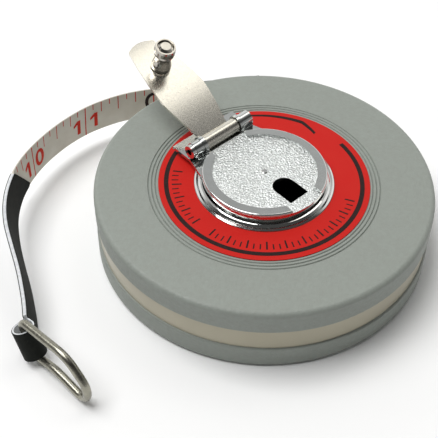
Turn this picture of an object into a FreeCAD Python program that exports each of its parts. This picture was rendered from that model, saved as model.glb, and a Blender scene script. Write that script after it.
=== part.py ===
"""Closed-case long tape with a folding winding crank, an assembly of separate pieces, in millimetres.

Row frame: the origin is the centre of the flat underside, +Z is up along the reel's axis, and the tape
leaves the mouth at the back (+Y) towards -X. Every size is a cell of the sheet "dims".
"""
import FreeCAD, Part
import math
import os
import re
import Sketcher

doc = FreeCAD.newDocument("tape_measure")
dims = doc.addObject("Spreadsheet::Sheet", "dims")
Vector = FreeCAD.Vector
Z_AXIS = Vector(0, 0, 1)

SIZES = [
    # the two shells and the band between them
    ("case_radius", 52.0), ("case_height", 23.5), ("edge_round", 1.5), ("lip_round", 0.6),
    ("lower_lip", 8.1), ("upper_lip", 15.6), ("band_recess", 0.6), ("band_thickness", 1.1),
    ("spigot_wall", 1.7), ("floor_thickness", 2.0), ("roof_thickness", 2.0), ("split_gap", 0.1),
    ("ridge_first", 33.2), ("ridge_pitch", 1.1), ("ridge_count", 3), ("ridge_width", 0.5),
    ("ridge_depth", 0.35), ("label_outer", 32.3), ("label_thickness", 0.3), ("label_sink", 0.1),
    # screws from below
    ("screw_circle", 46.2), ("screw_count", 3), ("screw_first", 44.0), ("boss_radius", 2.5),
    ("screw_radius", 0.98), ("screw_hole", 1.0), ("screw_head", 1.9), ("screw_head_high", 1.3),
    ("head_pocket", 2.1), ("head_sink", 1.6), ("screw_reach", 16.5),
    # rotating fits
    ("run_gap", 0.06), ("side_gap", 0.15),
    # hub escutcheon on the label and the crank disc's neck in it
    ("flange_outer", 21.3), ("flange_high", 1.3), ("flange_sleeve", 18.8), ("flange_deep", 3.0),
    ("neck_outer", 17.3), ("neck_wall", 1.4),
    # crank disc
    ("disc_radius", 19.0), ("disc_rise", 4.7), ("disc_thickness", 1.9), ("disc_round", 0.5),
    ("recess_radius", 16.0), ("recess_depth", 0.7), ("crank_angle", 136.5),
    ("notch_width", 12.0), ("pocket_near", 4.9), ("pocket_far", 14.8), ("pocket_width", 7.2),
    # hinge of the crank leaf
    ("hinge_offset", 20.3), ("hinge_rise", 0.8), ("barrel_radius", 2.3), ("barrel_length", 13.0),
    ("lug_length", 5.4), ("lug_radius", 2.85), ("lug_collar", 1.1), ("lug_step", 0.45), ("lug_gap", 0.3),
    ("plate_reach", 28.0),
    ("plate_width", 25.2), ("plate_thickness", 1.0), ("plate_drop", 1.85), ("gusset_near", 11.6),
    ("gusset_far", 20.0), ("gusset_width", 30.0), ("pin_radius", 1.5), ("pin_bore", 1.0),
    ("pin_flare", 2.1), ("pin_flare_thick", 1.5), ("pin_step", 1.3),
    # crank leaf: open angle of its root, its arch radius and its outline
    ("leaf_thickness", 0.8), ("leaf_root_angle", 29.5), ("leaf_arch", 131.0), ("leaf_reach", 37.9),
    ("leaf_width", 17.0), ("leaf_neck", 11.6), ("leaf_widest", 15.5), ("leaf_shoulder", 35.7),
    ("leaf_shoulder_width", 10.4), ("leaf_flank", 26.0), ("leaf_flank_width", 14.7), ("leaf_corner", 1.1),
    # winding knob and its stud
    ("knob_place", 26.8), ("knob_length", 10.0), ("knob_base", 3.15), ("knob_waist", 2.55),
    ("knob_head", 3.4), ("knob_seat_gap", 0.15), ("stud_radius", 1.1), ("stud_head", 2.3),
    ("stud_head_high", 0.9), ("stud_sink", 0.6),
    # reel
    ("tape_width", 13.0), ("drum_radius", 20.0), ("drum_floor", 2.0), ("reel_gap", 0.05),
    ("disc_plate", 0.8), ("plate_radius", 43.2), ("coil_inner", 20.2), ("coil_outer", 42.2),
    ("coil_gap", 0.3), ("post_radius", 3.9), ("anchor_radius", 1.0), ("anchor_offset", 18.1),
    ("anchor_slot", 0.8), ("spindle_radius", 2.4), ("rivet_shank", 0.7), ("rivet_head", 1.0),
    ("rivet_head_high", 0.25), ("rivet_deep", 5.0), ("drag_outer", 24.0), ("drag_clear", 0.1),
    # lower bearing
    ("pad_radius", 11.0), ("pad_high", 3.4), ("base_recess", 8.0), ("recess_deep", 1.4),
    ("bush_outer", 4.0), ("bush_flange", 6.5), ("bush_flange_high", 0.5), ("washer_outer", 5.5),
    ("washer_thick", 0.25), ("clip_outer", 4.4), ("clip_thick", 0.4), ("groove_deep", 0.5),
    ("cap_thick", 0.45),
    # mouthpiece: frame, rollers and pins, at its own polar angle
    ("mouth_angle", 104.0), ("mouth_width", 20.6), ("mouth_inner", "=case_radius - 6"),
    ("mouth_outer", "=case_radius + 5.7"),
    ("mouth_low", 4.5), ("mouth_high", 19.1), ("mouth_plate", 0.7), ("mouth_wall", 1.0),
    ("mouth_jamb", 2.6), ("outlet_low", "=case_radius + 0.6"), ("mouth_fit", 0.1),
    ("mouth_slope", "=case_radius + 2.4"),
    ("mouth_slope_low", 17.6), ("mouth_step", "=case_radius + 2.8"), ("mouth_step_down", 1.9),
    ("roller_radius", 1.4), ("roller_pin", 0.7), ("roller_end_gap", 0.2),
    ("inner_roller_x", 1.7), ("inner_roller_y", "=case_radius - 2.4"), ("outer_roller_x", -4.4),
    ("outer_roller_y", "=case_radius + 3"),
    # free tape, its leader, loop and ring
    ("tape_solid", 0.6), ("leader_width", 12.0), ("leader_solid", 1.2), ("loop_length", 9.7),
    ("loop_outer", 3.6), ("loop_inner", 3.0), ("ring_wire", 1.25),
]
for row, (name, size) in enumerate(SIZES, 1):
    dims.set(f"A{row}", name)
    dims.set(f"B{row}", str(size))
    dims.setAlias(f"B{row}", name)
doc.recompute()
SIZE = dict(SIZES)
ALIAS = re.compile(r"\b[a-z]+_[a-z_]+\b")
OVER = 1.0  # how far a cutting tool runs past the face that it opens


def linked(text):
    """Expression text with each size's name pointing at its cell."""
    return ALIAS.sub(lambda found: "dims." + found.group(0), str(text))


def number(text):
    """What an expression in the sheet's names comes to."""
    found = dims.evalExpression(linked(text))
    return float(getattr(found, "Value", found))


def bind(thing, prop, text):
    thing.setExpression(prop, linked(text))


def placed(thing, x="0", y="0", z="0"):
    for axis, text in (("x", x), ("y", y), ("z", z)):
        bind(thing, "Placement.Base." + axis, text)
    return thing


def cylinder(name, radius, low, high, x="0", y="0"):
    thing = doc.addObject("Part::Cylinder", name)
    bind(thing, "Radius", radius)
    bind(thing, "Height", f"({high}) - ({low})")
    return placed(thing, x, y, low)


def box(name, x, y, z):
    """A block from pairs of expressions (low, high) along each axis."""
    thing = doc.addObject("Part::Box", name)
    for prop, (low, high) in zip(("Length", "Width", "Height"), (x, y, z)):
        bind(thing, prop, f"({high}) - ({low})")
    return placed(thing, x[0], y[0], z[0])


def wedge(name, x, y, low, high):
    """A block whose bottom slopes along Y between two heights, under a flat top."""
    thing = doc.addObject("Part::Wedge", name)
    texts = {"Xmin": "0", "Xmax": f"({high}) - ({low[0]})", "Ymin": "0", "Ymax": f"({y[1]}) - ({y[0]})",
             "Zmin": "0", "Zmax": f"({x[1]}) - ({x[0]})", "X2min": f"({low[1]}) - ({low[0]})",
             "X2max": f"({high}) - ({low[0]})", "Z2min": "0", "Z2max": f"({x[1]}) - ({x[0]})"}
    for prop, text in texts.items():
        bind(thing, prop, text)
    thing.Placement = FreeCAD.Placement(Vector(), FreeCAD.Rotation(Vector(0, 1, 0), -90))
    return placed(thing, x[1], y[0], low[0])


def tapered(name, half_near, half_far, y, z):
    """A flat plate in plan between two half widths along Y."""
    thing = doc.addObject("Part::Wedge", name)
    texts = {"Xmin": f"-({half_near})", "Xmax": half_near, "Ymin": "0", "Ymax": f"({y[1]}) - ({y[0]})",
             "Zmin": "0", "Zmax": f"({z[1]}) - ({z[0]})", "X2min": f"-({half_far})", "X2max": half_far,
             "Z2min": "0", "Z2max": f"({z[1]}) - ({z[0]})"}
    for prop, text in texts.items():
        bind(thing, prop, text)
    return placed(thing, "0", y[0], z[0])


def lying(name, radius, low, high, y, z):
    """A cylinder along X."""
    thing = cylinder(name, radius, "0", f"({high}) - ({low})")
    thing.Placement = FreeCAD.Placement(Vector(), FreeCAD.Rotation(Vector(0, 1, 0), 90))
    return placed(thing, low, y, z)


def fuse(name, *things):
    joined = doc.addObject("Part::MultiFuse", name)
    joined.Shapes = list(things)
    joined.Refine = True
    return joined


def cut(name, base, *tools):
    result = doc.addObject("Part::Cut", name)
    result.Base = base
    result.Tool = tools[0] if len(tools) == 1 else fuse(name + "_tools", *tools)
    result.Refine = True
    return result


def grouped(name, *things):
    group = doc.addObject("Part::Compound", name)
    group.Links = list(things)
    return group


def turned(name, outline):
    """A body made by turning an outline of (radius, height) expressions about Z."""
    body = doc.addObject("PartDesign::Body", name)
    sketch = body.newObject("Sketcher::SketchObject", name + "_outline")
    plane = [part for part in body.Origin.OriginFeatures if part.Role == "XZ_Plane"][0]
    sketch.AttachmentSupport = [(plane, "")]
    sketch.MapMode = "FlatFace"
    points = [Vector(number(radius), number(high), 0) for radius, high in outline]
    count = len(points)
    for start, end in zip(points, points[1:] + points[:1]):
        sketch.addGeometry(Part.LineSegment(start, end))
    for corner, (radius, high) in enumerate(outline):
        sketch.addConstraint(Sketcher.Constraint("Coincident", corner, 2, (corner + 1) % count, 1))
        for kind, text, axis in (("DistanceX", radius, -2), ("DistanceY", high, -1)):
            if str(text) == "0":
                sketch.addConstraint(Sketcher.Constraint("PointOnObject", corner, 1, axis))
                continue
            index = sketch.addConstraint(Sketcher.Constraint(kind, -1, 1, corner, 1, number(text)))
            bind(sketch, f"Constraints[{index}]", text)
    turn = body.newObject("PartDesign::Revolution", name + "_turn")
    turn.Profile = sketch
    turn.ReferenceAxis = (sketch, ["V_Axis"])
    turn.Angle = 360
    body.Tip = turn
    sketch.Visibility = False
    return body


def ring(name, inner, outer, low, high):
    return turned(name, [(inner, low), (outer, low), (outer, high), (inner, high)])


def rounded(name, base, *rims):
    """Rounds the circular edges that lie at (radius, height) by a radius: rims are triples of expressions."""
    doc.recompute()
    result = doc.addObject("Part::Fillet", name)
    result.Base = base
    picked = []
    for radius, high, size in rims:
        for index, edge in enumerate(base.Shape.Edges, 1):
            curve = edge.Curve
            if not isinstance(curve, Part.Circle) or abs(curve.Radius - number(radius)) > 1e-4:
                continue
            if abs(edge.CenterOfMass.z - number(high)) < 1e-4 and abs(curve.Axis.z) > 0.99:
                picked.append((index, number(size), number(size)))
    result.Edges = picked
    return result


def label(thing, name, angle="0"):
    """Names a finished piece and turns it about Z from its local frame into place."""
    thing.Label = name
    if angle != "0":
        thing.Placement = FreeCAD.Placement(Vector(), FreeCAD.Rotation(Z_AXIS, number(angle)))
        bind(thing, "Placement.Rotation.Angle", f"({angle}) * 1 deg")
    PIECES.append(thing)


def feature(name, shape, angle="0"):
    """A finished piece whose shape is made by Part's own functions from the sheet's sizes."""
    thing = doc.addObject("Part::Feature", name)
    thing.Shape = shape
    label(thing, name, angle)


PIECES = []
CRANK_TURN = "crank_angle - 90"   # local +Y of the crank's pieces is the hinge's side
MOUTH_TURN = "mouth_angle - 90"   # local +Y of the mouthpiece is radially outwards
SPIGOT = "case_radius - band_recess - band_thickness"
CAVITY = f"{SPIGOT} - spigot_wall"
SPLIT = "(lower_lip + upper_lip) / 2"
CEILING = "case_height - roof_thickness"
MIDDLE = "(mouth_low + mouth_high) / 2"
DISC_TOP = "case_height + disc_rise"
DISC_LOW = "case_height + disc_rise - disc_thickness"
RECESS = "case_height + disc_rise - recess_depth"
HINGE_HIGH = "case_height + disc_rise + hinge_rise"
PLATE_TOP = "case_height + disc_rise - plate_drop"
NECK_INNER = "neck_outer - neck_wall"
REEL_LOW = "pad_high + bush_flange_high + reel_gap"
TAPE_LOW = f"{MIDDLE} - tape_width / 2"
TAPE_HIGH = f"{MIDDLE} + tape_width / 2"
DRUM_TOP = f"{TAPE_HIGH} + coil_gap + disc_plate"
NUDGE = 0.02


def mouth_opening(name):
    half = "mouth_width / 2 + mouth_fit"
    hole = box(name, (f"-({half})", half), ("mouth_inner - 3", "mouth_outer + 2"),
               ("mouth_low - mouth_fit", "mouth_high + mouth_fit"))
    hole.Placement = FreeCAD.Placement(Vector(), FreeCAD.Rotation(Z_AXIS, number(MOUTH_TURN)))
    turn = f"({MOUTH_TURN}) * 1 deg"
    bind(hole, "Placement.Rotation.Angle", turn)
    low_x, low_y = f"(-({half}))", "(mouth_inner - 3)"
    return placed(hole, f"{low_x} * cos({turn}) - {low_y} * sin({turn})",
                  f"{low_x} * sin({turn}) + {low_y} * cos({turn})", "mouth_low - mouth_fit")


def screw_places():
    step = f"360 / {SIZE['screw_count']}"
    for number_of in range(SIZE["screw_count"]):
        turn = f"((screw_first + {number_of} * {step}) * 1 deg)"
        yield number_of, f"screw_circle * cos({turn})", f"screw_circle * sin({turn})"


def screw_cylinders(name, radius, low, high):
    return [cylinder(f"{name}_{index}", radius, low, high, x, y) for index, x, y in screw_places()]


# ---- case ------------------------------------------------------------------------------------------
def lower_shell():
    split = f"{SPLIT} - split_gap / 2"
    tub = turned("lower_tub", [
        ("bush_outer", "recess_deep"), ("base_recess", "recess_deep"), ("base_recess", "0"),
        ("case_radius", "0"), ("case_radius", "lower_lip"), (SPIGOT, "lower_lip"), (SPIGOT, split),
        (CAVITY, split), (CAVITY, "floor_thickness"), ("pad_radius", "floor_thickness"),
        ("pad_radius", "pad_high"), ("bush_outer", "pad_high")])
    tub = rounded("lower_tub_rounded", tub, ("case_radius", "0", "edge_round"),
                  ("case_radius", "lower_lip", "lip_round"))
    bosses = screw_cylinders("lower_boss", "boss_radius", "floor_thickness / 2", split)
    tub = fuse("lower_tub_bossed", tub, *bosses)
    holes = screw_cylinders("lower_hole", "screw_hole", f"-{OVER}", f"{split} + {OVER}")
    sinks = screw_cylinders("lower_sink", "head_pocket", f"-{OVER}", "head_sink")
    label(cut("lower_shell", tub, mouth_opening("lower_mouth"), *holes, *sinks), "lower_shell")


def upper_shell():
    split = f"{SPLIT} + split_gap / 2"
    sunk = "case_height - label_sink"
    outline = [("flange_sleeve + side_gap", CEILING), (CAVITY, CEILING), (CAVITY, split), (SPIGOT, split),
               (SPIGOT, "upper_lip"), ("case_radius", "upper_lip"), ("case_radius", "case_height")]
    for index in reversed(range(SIZE["ridge_count"])):
        middle = f"ridge_first + {index} * ridge_pitch"
        outline += [(f"{middle} + ridge_width / 2", "case_height"), (middle, "case_height - ridge_depth"),
                    (f"{middle} - ridge_width / 2", "case_height")]
    outline += [("label_outer + side_gap", "case_height"), ("label_outer + side_gap", sunk),
                ("flange_sleeve + side_gap", sunk)]
    lid = rounded("upper_lid_rounded", turned("upper_lid", outline),
                  ("case_radius", "case_height", "edge_round"), ("case_radius", "upper_lip", "lip_round"))
    bosses = screw_cylinders("upper_boss", "boss_radius", split, "case_height - roof_thickness / 2")
    lid = fuse("upper_lid_bossed", lid, *bosses)
    holes = screw_cylinders("upper_hole", "screw_hole", f"{split} - {OVER}", f"screw_reach + {OVER}")
    label(cut("upper_shell", lid, mouth_opening("upper_mouth"), *holes), "upper_shell")


def rim_band():
    band = ring("band_hoop", f"{SPIGOT} + {NUDGE}", "case_radius - band_recess",
                f"lower_lip + {NUDGE}", f"upper_lip - {NUDGE}")
    label(cut("rim_band", band, mouth_opening("band_mouth")), "rim_band")


def label_ring():
    sunk = "case_height - label_sink"
    label(ring("label_ring", "flange_outer + side_gap", "label_outer", sunk,
               f"{sunk} + label_thickness"), "label_ring")


def hub_flange():
    seat = "case_height - label_sink"
    bore = "neck_outer + run_gap"
    top = "case_height + flange_high"
    flange = turned("hub_flange", [
        (bore, f"{CEILING} - flange_deep / 2"), ("flange_sleeve", f"{CEILING} - flange_deep / 2"),
        ("flange_sleeve", seat), ("flange_outer", seat), ("flange_outer", "case_height + flange_high * 0.3"),
        ("flange_outer - 0.5", "case_height + flange_high * 0.55"),
        ("flange_outer - 1.1", "case_height + flange_high * 0.45"),
        ("flange_outer - 1.7", "case_height + flange_high * 0.9"), ("flange_outer - 2.2", top), (bore, top)])
    label(flange, "hub_flange")


def case_screws():
    screws = []
    for index, x, y in screw_places():
        head = cylinder(f"screw_head_{index}", "screw_head", "head_sink - screw_head_high", "head_sink", x, y)
        shank = cylinder(f"screw_shank_{index}", "screw_radius", "head_sink / 2", "screw_reach", x, y)
        cross = []
        for turn, (long, wide) in enumerate((("2.2", "0.5"), ("0.5", "2.2"))):
            cross.append(box(f"screw_slot_{index}_{turn}", (f"{x} - {long} / 2", f"{x} + {long} / 2"),
                             (f"{y} - {wide} / 2", f"{y} + {wide} / 2"),
                             ("head_sink - screw_head_high - 1", "head_sink - screw_head_high + 0.6")))
        screws.append(cut(f"screw_{index}", fuse(f"screw_blank_{index}", head, shank), *cross))
    label(grouped("case_screws", *screws), "case_screws")


def lower_bearing():
    bore = "spindle_radius + run_gap"
    label(turned("base_bush", [
        (bore, "recess_deep"), (f"bush_outer - {NUDGE}", "recess_deep"), (f"bush_outer - {NUDGE}", "pad_high"),
        ("bush_flange", "pad_high"), ("bush_flange", "pad_high + bush_flange_high"),
        (bore, "pad_high + bush_flange_high")]), "base_bush")
    label(ring("thrust_washer", bore, "washer_outer", f"recess_deep - washer_thick - {NUDGE}",
               f"recess_deep - {NUDGE}"), "thrust_washer")
    label(turned("base_cap", [("0", "0"), (f"base_recess - {NUDGE}", "0"), (f"base_recess - {NUDGE}", "cap_thick"),
                              ("0", "cap_thick")]), "base_cap")


# ---- mouthpiece, in a local frame with +Y outwards and the outlet at -X ---------------------------------
ROLLER_LOW = "mouth_low + mouth_plate"
ROLLER_HIGH = "mouth_high - mouth_plate"
ROLLERS = (("inner", "inner_roller_x", "inner_roller_y", ROLLER_HIGH),
           ("outer", "outer_roller_x", "outer_roller_y", f"{ROLLER_HIGH} - mouth_step_down"))


def mouth_frame():
    half = "mouth_width / 2"
    wall = "mouth_outer - mouth_wall"
    low_roof = f"{ROLLER_HIGH} - mouth_step_down"
    block = box("mouth_block", (f"-{half}", half), ("mouth_inner", "mouth_outer"), ("mouth_low", "mouth_high"))
    brow = wedge("mouth_brow", (f"-{half} - {OVER}", f"{half} + {OVER}"), ("mouth_slope", f"mouth_outer + {NUDGE}"),
                 ("mouth_high", "mouth_slope_low"), f"mouth_high + {OVER}")
    inside = box("mouth_inside", (f"mouth_jamb - {half}", f"{half} - mouth_wall"),
                 (f"mouth_inner - {OVER}", "mouth_step"), (ROLLER_LOW, ROLLER_HIGH))
    pocket = box("mouth_pocket", (f"mouth_jamb - {half}", f"{half} - mouth_wall"),
                 ("mouth_step - 0.5", wall), (ROLLER_LOW, low_roof))
    outlet = box("mouth_outlet", (f"-{half} - {OVER}", f"mouth_jamb - {half} + {OVER}"),
                 ("outlet_low", "mouth_step"), (ROLLER_LOW, ROLLER_HIGH))
    way_in = box("mouth_way_in", ("0", f"{half} + {OVER}"), (f"mouth_inner - {OVER}", "mouth_inner + 4"),
                 (ROLLER_LOW, ROLLER_HIGH))
    pins = [cylinder(f"pin_hole_{name}", f"roller_pin + {NUDGE}", f"mouth_low - {OVER}", f"mouth_high + {OVER}",
                     x, y) for name, x, y, high in ROLLERS]
    label(cut("mouth_frame", block, brow, inside, pocket, outlet, way_in, *pins), "mouth_frame", MOUTH_TURN)


def mouth_rollers():
    for name, x, y, roof in ROLLERS:
        low, high = f"{ROLLER_LOW} + roller_end_gap", f"{roof} - roller_end_gap"
        outside = cylinder(f"{name}_barrel", "roller_radius", low, high, x, y)
        bore = cylinder(f"{name}_bore", "roller_pin + run_gap", f"{low} - {OVER}", f"{high} + {OVER}", x, y)
        label(cut(f"{name}_roller", outside, bore), f"{name}_roller", MOUTH_TURN)
        rod = cylinder(f"{name}_rod", "roller_pin", "mouth_low", f"{roof} + mouth_plate", x, y)
        label(grouped(f"{name}_roller_pin", rod), f"{name}_roller_pin", MOUTH_TURN)


# ---- reel ------------------------------------------------------------------------------------------
def reel_drum():
    floor = f"{REEL_LOW} + drum_floor"
    drum = turned("drum_cup", [
        (f"spindle_radius + {NUDGE}", REEL_LOW), ("drum_radius", REEL_LOW), ("drum_radius", DRUM_TOP),
        (NECK_INNER, DRUM_TOP), (NECK_INNER, floor), ("post_radius", floor),
        ("post_radius", f"{floor} + drum_floor"), (f"spindle_radius + {NUDGE}", f"{floor} + drum_floor")])
    pin = cylinder("anchor_hole", f"anchor_radius + {NUDGE}", f"{TAPE_LOW} - coil_gap",
                   f"{TAPE_HIGH} + coil_gap", "anchor_offset", "0")
    slot = box("anchor_slit", ("anchor_offset", f"drum_radius + {OVER}"), ("-anchor_slot / 2", "anchor_slot / 2"),
               (f"{TAPE_LOW} - coil_gap", f"{TAPE_HIGH} + coil_gap"))
    label(cut("reel_drum", drum, pin, slot), "reel_drum", CRANK_TURN)
    rod = cylinder("anchor_rod", "anchor_radius", TAPE_LOW, TAPE_HIGH, "anchor_offset", "0")
    label(grouped("tape_anchor", rod), "tape_anchor", CRANK_TURN)


def reel_sides():
    bore = f"drum_radius + {NUDGE}"
    label(ring("lower_reel_plate", bore, "plate_radius", f"{TAPE_LOW} - coil_gap - disc_plate",
               f"{TAPE_LOW} - coil_gap"), "lower_reel_plate")
    label(ring("upper_reel_plate", bore, "plate_radius", f"{TAPE_HIGH} + coil_gap",
               f"{TAPE_HIGH} + coil_gap + disc_plate"), "upper_reel_plate")
    label(ring("tape_coil", "coil_inner", "coil_outer", TAPE_LOW, TAPE_HIGH), "tape_coil")
    label(ring("drag_washer", "flange_sleeve + side_gap + run_gap", "drag_outer", f"{DRUM_TOP} + {NUDGE}",
               f"{CEILING} - drag_clear"), "drag_washer")


def spindle():
    groove_top = f"recess_deep - washer_thick - 2 * {NUDGE}"
    groove_low = f"{groove_top} - clip_thick"
    inner = "spindle_radius - groove_deep"
    shaft = turned("spindle", [
        ("0", "cap_thick + run_gap"), ("spindle_radius", "cap_thick + run_gap"), ("spindle_radius", groove_low),
        (inner, groove_low), (inner, groove_top), ("spindle_radius", groove_top),
        ("spindle_radius", DISC_LOW), ("rivet_shank", DISC_LOW), ("rivet_shank", f"{DISC_LOW} - rivet_deep"),
        ("0", f"{DISC_LOW} - rivet_deep")])
    label(shaft, "spindle")
    gap_low, gap_high = f"{groove_low} + {NUDGE}", f"{groove_top} - {NUDGE}"
    hoop = ring("clip_hoop", f"{inner} + {NUDGE}", "clip_outer", gap_low, gap_high)
    mouth = box("clip_gap", (f"-({inner})", inner), ("0", "clip_outer + 1"), ("-1", "recess_deep"))
    label(cut("retaining_clip", hoop, mouth), "retaining_clip", CRANK_TURN)


def disc_rivet():
    top = f"{RECESS} + rivet_head_high"
    label(turned("disc_rivet", [
        ("0", f"{DISC_LOW} - rivet_deep"), ("rivet_shank", f"{DISC_LOW} - rivet_deep"),
        ("rivet_shank", RECESS), ("rivet_head", RECESS), ("rivet_head", f"{RECESS} + rivet_head_high / 3"),
        ("rivet_head * 0.75", top), ("0", top)]), "disc_rivet")


# ---- crank disc, in a local frame with the hinge at +Y ------------------------------------------------
def crank_disc():
    half_barrel = "barrel_length / 2 + lug_gap"
    disc = rounded("disc_rounded", turned("disc_blank", [
        ("rivet_shank", DISC_LOW), (NECK_INNER, DISC_LOW), (NECK_INNER, DRUM_TOP), ("neck_outer", DRUM_TOP),
        ("neck_outer", DISC_LOW), ("disc_radius", DISC_LOW), ("disc_radius", DISC_TOP),
        ("recess_radius", DISC_TOP), ("recess_radius", RECESS), ("rivet_shank", RECESS)]),
        ("disc_radius", DISC_TOP, "disc_round"))
    plate_low = f"{PLATE_TOP} - plate_thickness"
    plate = box("hinge_plate", ("-plate_width / 2", "plate_width / 2"), ("disc_radius * 0.62", "plate_reach"),
                (plate_low, PLATE_TOP))
    gusset = tapered("hinge_gusset", "gusset_width / 2", "plate_width / 2", ("gusset_near", "gusset_far"),
                     (plate_low, PLATE_TOP))
    bore = cylinder("plate_bore", "neck_outer - neck_wall / 2", f"{plate_low} - 1", f"{PLATE_TOP} + 1")
    pieces = [disc, cut("hinge_plate_open", fuse("hinge_wings", plate, gusset), bore)]
    for side in (-1, 1):
        length = "lug_length" if side > 0 else "lug_length - pin_step"
        for name, radius, reach in (("collar", "lug_radius", "lug_collar"),
                                    ("body", "(lug_radius - lug_step)", length)):
            ends = [f"{side} * ({half_barrel})", f"{side} * ({half_barrel} + {reach})"]
            low, high = ends if side > 0 else ends[::-1]
            pieces.append(lying(f"lug_{name}_{side + 1}", radius, low, high, "hinge_offset", HINGE_HIGH))
            pieces.append(box(f"lug_{name}_foot_{side + 1}", (low, high),
                              (f"hinge_offset - {radius}", f"hinge_offset + {radius}"),
                              (PLATE_TOP, HINGE_HIGH)))
    body = fuse("disc_with_lugs", *pieces)
    middle = "(pocket_near + pocket_width / 2)"
    tools = [
        cylinder("pocket_round", "pocket_width / 2", f"{DISC_LOW} - 1", f"{DISC_TOP} + 1", "0", f"-{middle}"),
        box("pocket_square", ("-pocket_width / 2", "pocket_width / 2"), ("-pocket_far", f"-{middle}"),
            (f"{DISC_LOW} - 1", f"{DISC_TOP} + 1")),
        box("rim_notch", ("-notch_width / 2", "notch_width / 2"), ("-disc_radius - 1", "-recess_radius / 2"),
            (RECESS, f"{DISC_TOP} + 1")),
        box("rim_gate", (f"-({half_barrel})", half_barrel), ("recess_radius / 2", "disc_radius + 1"),
            (RECESS, f"{DISC_TOP} + 1")),
        box("barrel_room", (f"-({half_barrel})", half_barrel),
            ("hinge_offset - barrel_radius - 2 * lug_gap", "plate_reach + 1"), (PLATE_TOP, f"{DISC_TOP} + 3")),
        lying("pin_way", f"pin_radius + {NUDGE}", "-plate_width", "plate_width", "hinge_offset", HINGE_HIGH)]
    label(cut("crank_disc", body, *tools), "crank_disc", CRANK_TURN)


def hinge_pin():
    half = "(barrel_length / 2 + lug_gap + lug_length)"
    near = f"(pin_step - {half})"
    rod = lying("pin_rod", "pin_radius", f"{near} - pin_flare_thick", half, "hinge_offset", HINGE_HIGH)
    flare = lying("pin_flare", "pin_flare", f"{near} - pin_flare_thick", f"{near} - {NUDGE}", "hinge_offset",
                  HINGE_HIGH)
    bore = lying("pin_hollow", "pin_bore", f"{near} - 2", f"{near} + 4", "hinge_offset", HINGE_HIGH)
    label(cut("hinge_pin", fuse("pin_blank", rod, flare), bore), "hinge_pin", CRANK_TURN)


# ---- crank leaf and knob, open, in the crank's local frame --------------------------------------------
ROOT = math.radians(number("leaf_root_angle"))
ARCH = number("leaf_arch")
LEAF_START = Vector(0, number("hinge_offset") + number("barrel_radius") * math.sin(ROOT),
                    number(HINGE_HIGH) - number("barrel_radius") * math.cos(ROOT))
ARCH_CENTRE = LEAF_START + Vector(0, math.sin(ROOT), -math.cos(ROOT)) * ARCH


def on_leaf(reach, lift=0.0):
    """The point on the leaf's underside at a plan distance from its root, lifted along the normal."""
    slope = math.asin(math.sin(ROOT) - reach / ARCH)
    normal = Vector(0, -math.sin(slope), math.cos(slope))
    return ARCH_CENTRE + normal * (ARCH + lift), normal


def crank_leaf():
    thick, reach = number("leaf_thickness"), number("leaf_reach")
    half_neck, half_wide = number("leaf_neck") / 2, number("leaf_width") / 2
    half_shoulder, shoulder = number("leaf_shoulder_width") / 2, number("leaf_shoulder")
    barrel_half = number("barrel_length") / 2
    # the sheet's arch, extruded across
    below = [on_leaf(at)[0] for at in (0.0, reach / 2, reach * 1.01)]
    above = [on_leaf(at, thick)[0] for at in (0.0, reach / 2, reach * 1.01)]
    section = Part.Wire([Part.Arc(*below).toShape(), Part.makeLine(below[2], above[2]),
                         Part.Arc(*above[::-1]).toShape(), Part.makeLine(above[0], below[0])])
    sheet = Part.Face(section).extrude(Vector(2 * half_wide, 0, 0))
    sheet.translate(Vector(-half_wide, 0, 0))
    # its outline in plan: two bowed sides and a shallow rounded tip
    root = LEAF_START.y - number("barrel_radius")
    half_flank, flank = number("leaf_flank_width") / 2, number("leaf_flank")
    widest, radius = number("leaf_widest"), number("leaf_corner")
    start = 3.0

    def at(side, half, along):
        return Vector(side * half, LEAF_START.y + along, 0)

    def arc(side, *points):
        return Part.Arc(*[at(side, half, along) for half, along in points]).toShape()
    edges = []
    for side in (1, -1):
        edges.append(Part.makeLine(Vector(side * half_neck, root, 0), at(side, half_neck, start)))
        edges.append(arc(side, (half_neck, start), ((half_neck + half_wide) / 2 + 0.3, (start + widest) / 2),
                         (half_wide, widest)))
        edges.append(arc(side, (half_wide, widest), (half_flank, flank), (half_shoulder, shoulder)))
        edges.append(arc(side, (half_shoulder, shoulder),
                         (half_shoulder - 0.29 * radius, shoulder + 0.71 * radius),
                         (half_shoulder - radius, shoulder + radius)))
    edges.append(arc(1, (half_shoulder - radius, shoulder + radius), (0, reach),
                     (radius - half_shoulder, shoulder + radius)))
    edges.append(Part.makeLine(Vector(-half_neck, root, 0), Vector(half_neck, root, 0)))
    outline = Part.Wire(Part.__sortEdges__(edges))
    leaf = sheet.common(Part.Face(outline).extrude(Vector(0, 0, 2 * ARCH)))
    # the rolled barrel and the stud's hole
    centre = Vector(-barrel_half, number("hinge_offset"), number(HINGE_HIGH))
    barrel = Part.makeCylinder(number("barrel_radius"), 2 * barrel_half, centre, Vector(1, 0, 0))
    bore = Part.makeCylinder(number("pin_radius + run_gap"), 2 * barrel_half + 2, centre - Vector(1, 0, 0),
                             Vector(1, 0, 0))
    foot, normal = on_leaf(number("knob_place"))
    hole = Part.makeCylinder(number("stud_radius") + NUDGE, 4 * thick, foot - normal * thick, normal)
    feature("crank_leaf", leaf.fuse(barrel).cut(bore).cut(hole).removeSplitter(), CRANK_TURN)


def knob_frame():
    """Placement that puts a piece turned about Z onto the stud's axis, with z = 0 on the leaf's top face."""
    foot, normal = on_leaf(number("knob_place"), number("leaf_thickness"))
    turn = FreeCAD.Rotation(Z_AXIS, number(CRANK_TURN))
    return FreeCAD.Placement(turn.multVec(foot), turn.multiply(FreeCAD.Rotation(Z_AXIS, normal)))


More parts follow.
